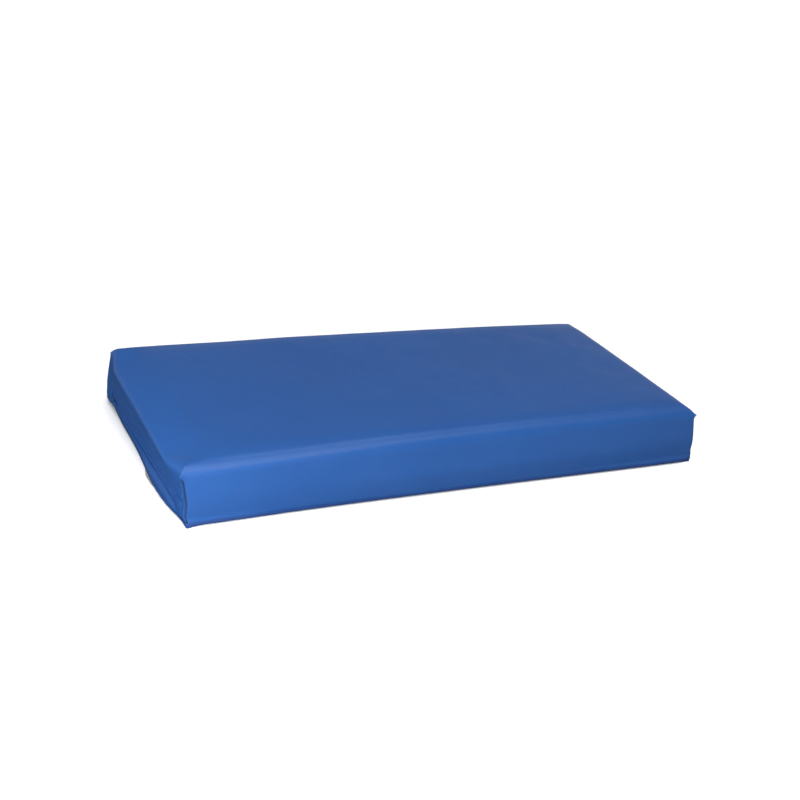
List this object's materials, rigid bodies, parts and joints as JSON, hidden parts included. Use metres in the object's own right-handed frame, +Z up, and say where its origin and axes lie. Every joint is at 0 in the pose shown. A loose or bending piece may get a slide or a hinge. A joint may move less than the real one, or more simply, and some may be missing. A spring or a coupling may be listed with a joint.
{
  "type": "gym pad",
  "caption": "Flat rectangular foam gym pad in a vinyl cover with soft top edges, sewn corners and a zip along one end wall.",
  "frame": {"origin": "middle of the underside, on the surface the pad lies on", "axes": "+X along the pad's length, away from the end wall with the zip, +Y to the back, +Z up"},
  "size_m": [1.206, 0.5524, 0.125],
  "materials": {
    "cover_vinyl": "satin",
    "binding_vinyl": "satin",
    "underside_fabric": "matte",
    "firm_foam": "matte",
    "soft_foam": "matte",
    "woven_tape": "matte",
    "zip_tape": "matte",
    "zip_teeth": "satin",
    "guard_fabric": "matte",
    "slider_metal": "satin"
  },
  "bodies": {
    "pad": {"cover_sheet": "cover_vinyl", "hem_binding": "binding_vinyl", "underside_panel": "underside_fabric", "foam_base_layer": "firm_foam", "foam_top_layer": "soft_foam", "corner_tape_front_left": "woven_tape", "corner_tape_front_right": "woven_tape", "corner_tape_back_left": "woven_tape", "corner_tape_back_right": "woven_tape", "zip_tape_upper": "zip_tape", "zip_tape_lower": "zip_tape", "zip_teeth_upper": "zip_teeth", "zip_teeth_lower": "zip_teeth", "zip_top_stops": "zip_teeth", "zip_bottom_stop": "zip_teeth", "zip_guard": "guard_fabric", "zip_end_patch_front": "binding_vinyl", "zip_end_patch_back": "binding_vinyl"},
    "slider": {"zip_slider": "slider_metal"},
    "pull_tab": {"zip_pull_tab": "slider_metal"}
  },
  "joints": [
    {"name": "zip_slide", "type": "slide", "parent": "pad", "child": "slider", "axis": [0, -1, 0], "range_m": [0, 0.427]},
    {"name": "pull_tab_swing", "type": "hinge", "parent": "slider", "child": "pull_tab", "pos_m": [-0.6025, 0.2135, 0.028], "axis": [0, 0, -1], "range_deg": [0, 180]}
  ]
}
